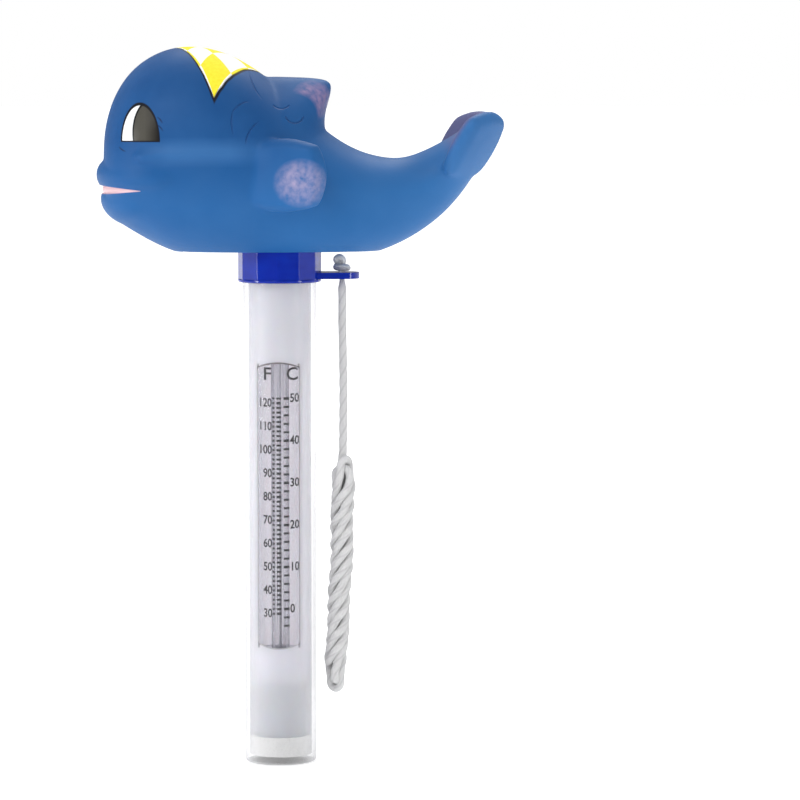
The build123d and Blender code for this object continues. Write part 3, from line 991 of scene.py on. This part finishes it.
def drawn_glass():
    """The thermometer's glass, greyer towards its edges."""
    finish = Finish("drawn_glass", IOR=1.47)
    facing = Field(finish, finish.node("ShaderNodeLayerWeight", {}, {"Blend": 0.5}).outputs["Facing"])
    streak = finish.noise(0.9, 2, (1, 1, 60))
    shade = facing * 0.8 + streak * 0.3
    finish.feed(Base_Color=finish.mix(srgb(216, 216, 226), srgb(104, 104, 118), shade))
    finish.feed(Alpha=0.22 + facing * 0.5 + streak.above(0.56, 0.12) * 0.14, Roughness=0.04 + streak * 0.04)
    return finish


def plain(name, first, second, size, roughness, relief, metallic=0.0, stretch=(1, 1, 1)):
    """A finish of two close colours in fine lumps."""
    finish = Finish(name, Metallic=metallic)
    lumps = finish.noise(size, 4, stretch)
    finish.feed(Base_Color=finish.mix(first, second, lumps), Roughness=roughness + lumps * 0.12)
    finish.relief(lumps, relief)
    return finish


def ink():
    """The black ink of the scale."""
    return plain("black_ink", srgb(10, 10, 14), srgb(26, 26, 32), 0.6, 0.4, 0.01)


# --- Stage -------------------------------------------------------------------------


FLOOR_SIZE = 40
FLOOR_IN_FRONT = 1.2
FLOOR_GAP = 0.2
# Each softbox: its place, its width and height in metres, and its power in watts
SOFTBOXES = {
    "key": ((-0.7, -1.1, 1.2), (0.9, 0.9), 11),
    "back": ((0.5, 1.6, 1.9), (1.6, 1.2), 24),
    "left_strip": ((-1.11, -0.45, -0.03), (0.2, 0.9), 8),
    "right_strip": ((1.0, -0.67, -0.03), (0.16, 0.9), 4),
}


def add_stage():
    """A pale floor out to the horizon, lit by its own painted glow that grows far behind, a white surround
    that is dim at eye level, and soft lights.
    """
    middle = (0, FLOOR_SIZE / 2 - FLOOR_IN_FRONT, TUBE_FOOT - FLOOR_GAP * MM)
    floor = begin("floor", bpy.ops.mesh.primitive_plane_add, size=FLOOR_SIZE, location=middle)
    paper = plain("paper", srgb(250, 250, 250), srgb(247, 247, 248), 40, 0.85, 0.05)
    away = (paper.x * paper.x + paper.y * paper.y) ** 0.5
    # The floor glows by itself: painted light, stronger far behind the object.
    glow = 0.4 + away.above(900, 1200) * paper.y.above(300, 400) * 0.6
    paper.feed(Emission_Color=paper.mix(srgb(0, 0, 0), srgb(255, 255, 255), glow))
    paper.shader.inputs["Emission Strength"].default_value = 0.6
    paper.on(settle(floor))

    world = bpy.data.worlds.new("studio")
    bpy.context.scene.world = world
    world.use_nodes = True
    nodes, links = world.node_tree.nodes, world.node_tree.links
    split = nodes.new("ShaderNodeSeparateXYZ")
    links.new(nodes.new("ShaderNodeTexCoord").outputs["Generated"], split.inputs[0])
    sky = nodes.new("ShaderNodeMapRange")
    for name, value in (("From Min", -0.1), ("From Max", 0.7), ("To Min", 0.12), ("To Max", 0.8)):
        sky.inputs[name].default_value = value
    links.new(split.outputs["Z"], sky.inputs["Value"])
    strength = nodes.new("ShaderNodeMix")
    strength.inputs[3].default_value = 1.0
    links.new(sky.outputs[0], strength.inputs[2])
    links.new(nodes.new("ShaderNodeLightPath").outputs["Is Camera Ray"], strength.inputs[0])
    links.new(strength.outputs[0], nodes["Background"].inputs["Strength"])
    nodes["Background"].inputs["Color"].default_value = (1, 1, 1, 1)
    for name, (place, size, power) in SOFTBOXES.items():
        softbox(name, place, size, power)


def softbox(name, place, size, power):
    """A rectangular lamp that looks at the middle of the view."""
    light = bpy.data.lights.new(name, "AREA")
    light.shape = "RECTANGLE"
    light.size, light.size_y = size
    light.energy = power
    lamp = bpy.data.objects.new(name, light)
    lamp.location = place
    lamp.rotation_euler = (VIEW_TARGET - Vector(place)).to_track_quat("-Z", "Y").to_euler()
    bpy.context.collection.objects.link(lamp)


# --- Everything in its place -------------------------------------------------------

add_camera()
nodes = frame["nodes"]

cord, cord_line = tether()
knot, _ = stopper_knot()
cord_yarn("grey_yarn", srgb(232, 232, 232)).on(cord)
# The knot's yarn is painted whiter than the cord's: painted light against the shade under the whale.
cord_yarn("knot_yarn_painted_light", srgb(255, 255, 254)).on(knot)
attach(cord, "collar")
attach(knot, "collar")
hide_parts("tether_cord", "cord_hank")
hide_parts("cord_knot")

whale = whale_skin()
whale_paint().on(whale)
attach(whale, "float")
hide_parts("whale_float")

thread, thread_low, thread_high = spirit_thread()
spirit = plain("dark_spirit", srgb(26, 26, 36), srgb(44, 42, 56), 2, 0.2, 0.01)
spirit.on(thread, nodes["spirit_fill"], nodes["spirit_head"], nodes["spirit_column"])
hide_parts("spirit_column")
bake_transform(thread)

black = ink()
for piece in scale_print():
    black.on(piece)
    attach(piece, "tube")

collar_plastic().on(nodes["collar_cap"])
clear_plastic("tube_plastic", srgb(236, 236, 238), 0.015, srgb(168, 169, 176), 0.04).on(nodes["outer_tube"])
jacket_plastic = clear_plastic("jacket_plastic", srgb(252, 252, 255), 0.01, srgb(206, 208, 220), 0.04)
jacket_plastic.on(nodes["scale_jacket"])
milky_sleeve().on(nodes["window_liner"])
drawn_glass().on(nodes["glass_stem"])
rubber = plain("black_rubber", srgb(18, 18, 19), srgb(34, 34, 36), 1.5, 0.6, 0.04)
rubber.on(nodes["spigot_ring"], nodes["cap_gasket"])
plain("socket_plastic", srgb(36, 84, 146), srgb(48, 98, 162), 2, 0.35, 0.03).on(nodes["float_socket"])
plain("cup_plastic", srgb(232, 232, 236), srgb(220, 220, 226), 3, 0.4, 0.03).on(nodes["bulb_cup"])
foam = plain("white_foam", srgb(222, 222, 222), srgb(200, 200, 200), 0.7, 0.85, 0.25)
foam.on(nodes["stem_bush"], nodes["ballast_pad"], nodes["floor_pad"])
steel = plain("turned_steel", srgb(168, 168, 172), srgb(132, 132, 138), 1.2, 0.22, 0.02, 1.0, (8, 8, 0.2))
steel.on(nodes["ballast_weight"])

add_stage()
